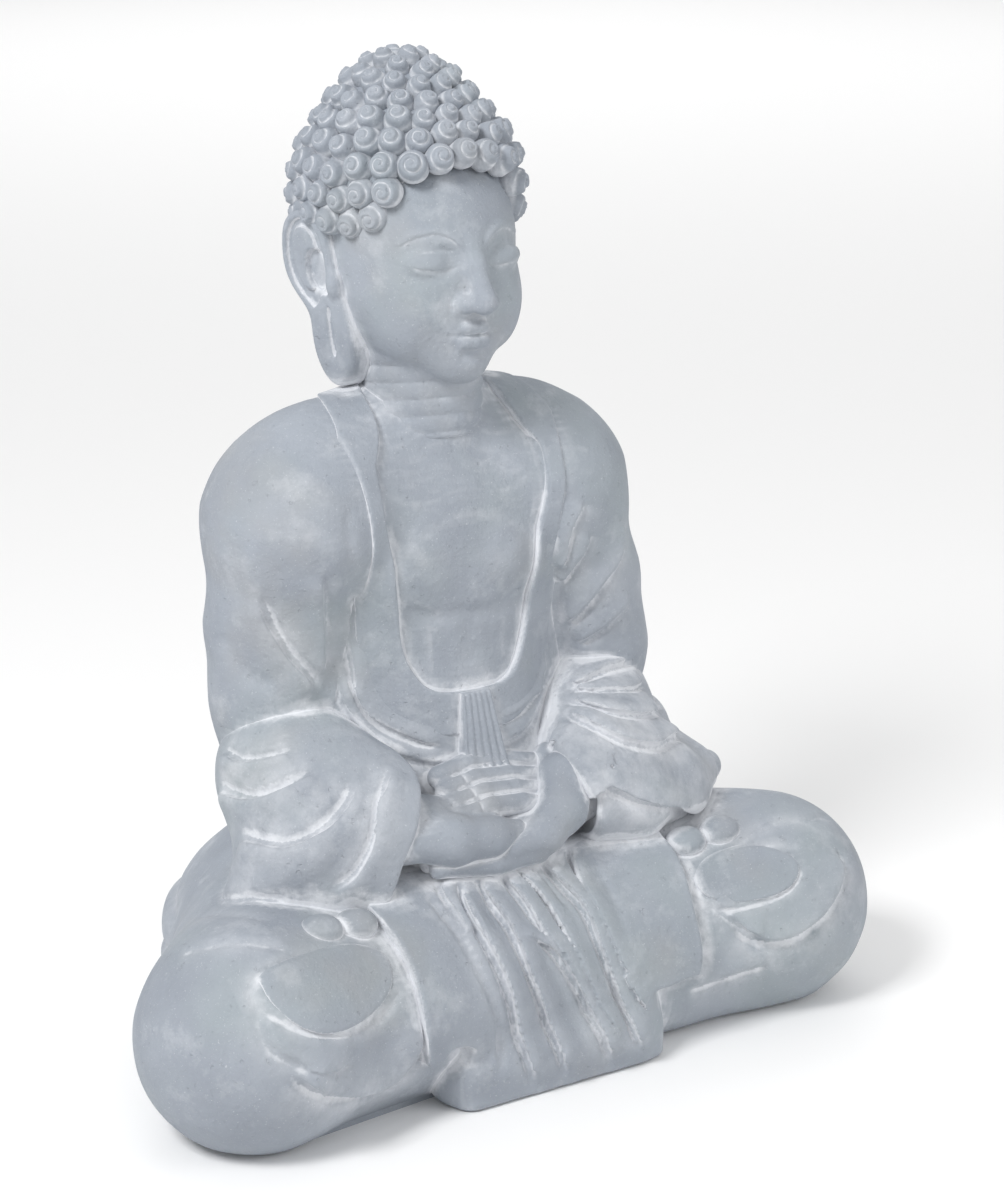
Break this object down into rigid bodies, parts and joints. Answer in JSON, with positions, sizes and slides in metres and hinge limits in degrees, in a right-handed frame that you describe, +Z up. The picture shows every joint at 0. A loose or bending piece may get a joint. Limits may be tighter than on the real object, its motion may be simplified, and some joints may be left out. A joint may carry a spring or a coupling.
{
  "type": "seated buddha statue",
  "caption": "Seated meditating robed figure with snail-shell curls, cast in hollow bonded sections, resting on a flat closed base.",
  "frame": {"origin": "on the flat resting face, straight below the neck", "axes": "+Z up through the head, -Y the way the figure faces, +X to the figure's left"},
  "size_m": [0.4964, 0.2895, 0.6028],
  "materials": {
    "cast_stone": "matte",
    "hair": "matte",
    "rubber": "matte"
  },
  "bodies": {
    "root": {"base_plate": "cast_stone", "drain_plug": "rubber", "seat_shell": "cast_stone", "right_foot": "cast_stone", "left_foot": "cast_stone", "apron": "cast_stone", "waist_ring": "cast_stone", "torso_front": "cast_stone", "torso_back": "cast_stone", "collar_band": "cast_stone", "sash_tassel": "cast_stone", "right_arm": "cast_stone", "left_arm": "cast_stone", "right_sleeve": "cast_stone", "left_sleeve": "cast_stone", "right_hand": "cast_stone", "left_hand": "cast_stone", "neck_spigot": "cast_stone", "head_shell": "cast_stone", "right_ear": "cast_stone", "left_ear": "cast_stone", "hair_cap": "hair", "crown_dome": "hair", "hair_curls": "hair"}
  },
  "joints": []
}
